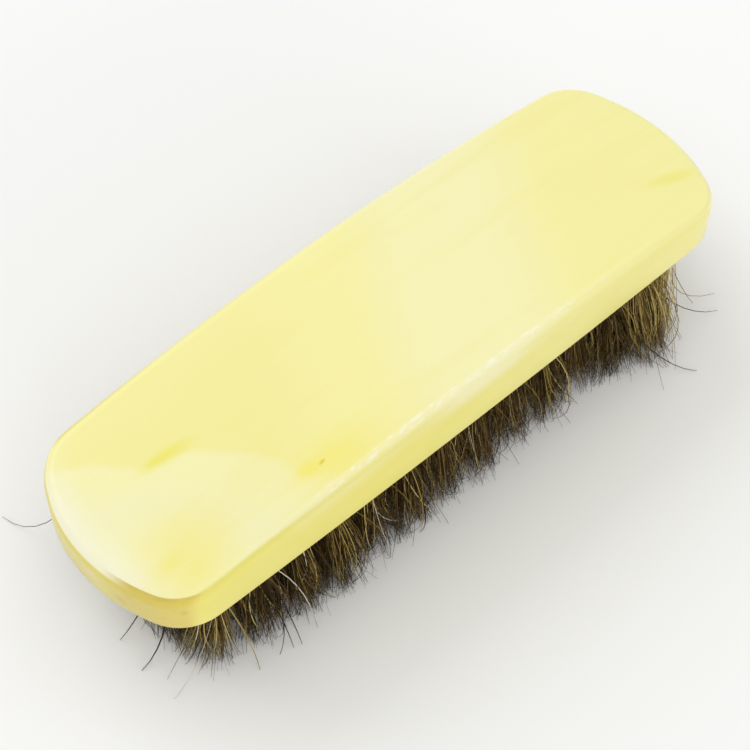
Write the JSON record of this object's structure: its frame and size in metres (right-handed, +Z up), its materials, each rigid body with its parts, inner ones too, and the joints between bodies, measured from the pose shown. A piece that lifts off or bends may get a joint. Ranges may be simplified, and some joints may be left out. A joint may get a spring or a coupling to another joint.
{
  "type": "horsehair bristle brush",
  "caption": "Handle-free hand brush: an arched, round-cornered lacquered wooden block with rows of splayed brown horsehair tufts set in its flat underside.",
  "frame": {"origin": "on the surface that the trimmed bristles stand on, below the middle of the block", "axes": "+X along the block, +Y across it, +Z up from the bristle ends to the arched top"},
  "size_m": [0.16, 0.0534, 0.037],
  "materials": {
    "lacquered_wood": "clear satin-gloss lacquer over pale, close-grained wood",
    "horsehair": "natural mixed brown horsehair, dry and slightly shiny, with single lighter hairs"
  },
  "bodies": {
    "root": {"wood_block": "lacquered_wood", "tuft_row1_01": "horsehair", "tuft_row1_02": "horsehair", "tuft_row1_03": "horsehair", "tuft_row1_04": "horsehair", "tuft_row1_05": "horsehair", "tuft_row1_06": "horsehair", "tuft_row1_07": "horsehair", "tuft_row1_08": "horsehair", "tuft_row1_09": "horsehair", "tuft_row1_10": "horsehair", "tuft_row1_11": "horsehair", "tuft_row1_12": "horsehair", "tuft_row1_13": "horsehair", "tuft_row1_14": "horsehair", "tuft_row2_01": "horsehair", "tuft_row2_02": "horsehair", "tuft_row2_03": "horsehair", "tuft_row2_04": "horsehair", "tuft_row2_05": "horsehair", "tuft_row2_06": "horsehair", "tuft_row2_07": "horsehair", "tuft_row2_08": "horsehair", "tuft_row2_09": "horsehair", "tuft_row2_10": "horsehair", "tuft_row2_11": "horsehair", "tuft_row2_12": "horsehair", "tuft_row2_13": "horsehair", "tuft_row2_14": "horsehair", "tuft_row2_15": "horsehair", "tuft_row3_01": "horsehair", "tuft_row3_02": "horsehair", "tuft_row3_03": "horsehair", "tuft_row3_04": "horsehair", "tuft_row3_05": "horsehair", "tuft_row3_06": "horsehair", "tuft_row3_07": "horsehair", "tuft_row3_08": "horsehair", "tuft_row3_09": "horsehair", "tuft_row3_10": "horsehair", "tuft_row3_11": "horsehair", "tuft_row3_12": "horsehair", "tuft_row3_13": "horsehair", "tuft_row3_14": "horsehair", "tuft_row3_15": "horsehair", "tuft_row4_01": "horsehair", "tuft_row4_02": "horsehair", "tuft_row4_03": "horsehair", "tuft_row4_04": "horsehair", "tuft_row4_05": "horsehair", "tuft_row4_06": "horsehair", "tuft_row4_07": "horsehair", "tuft_row4_08": "horsehair", "tuft_row4_09": "horsehair", "tuft_row4_10": "horsehair", "tuft_row4_11": "horsehair", "tuft_row4_12": "horsehair", "tuft_row4_13": "horsehair", "tuft_row4_14": "horsehair"}
  },
  "joints": []
}
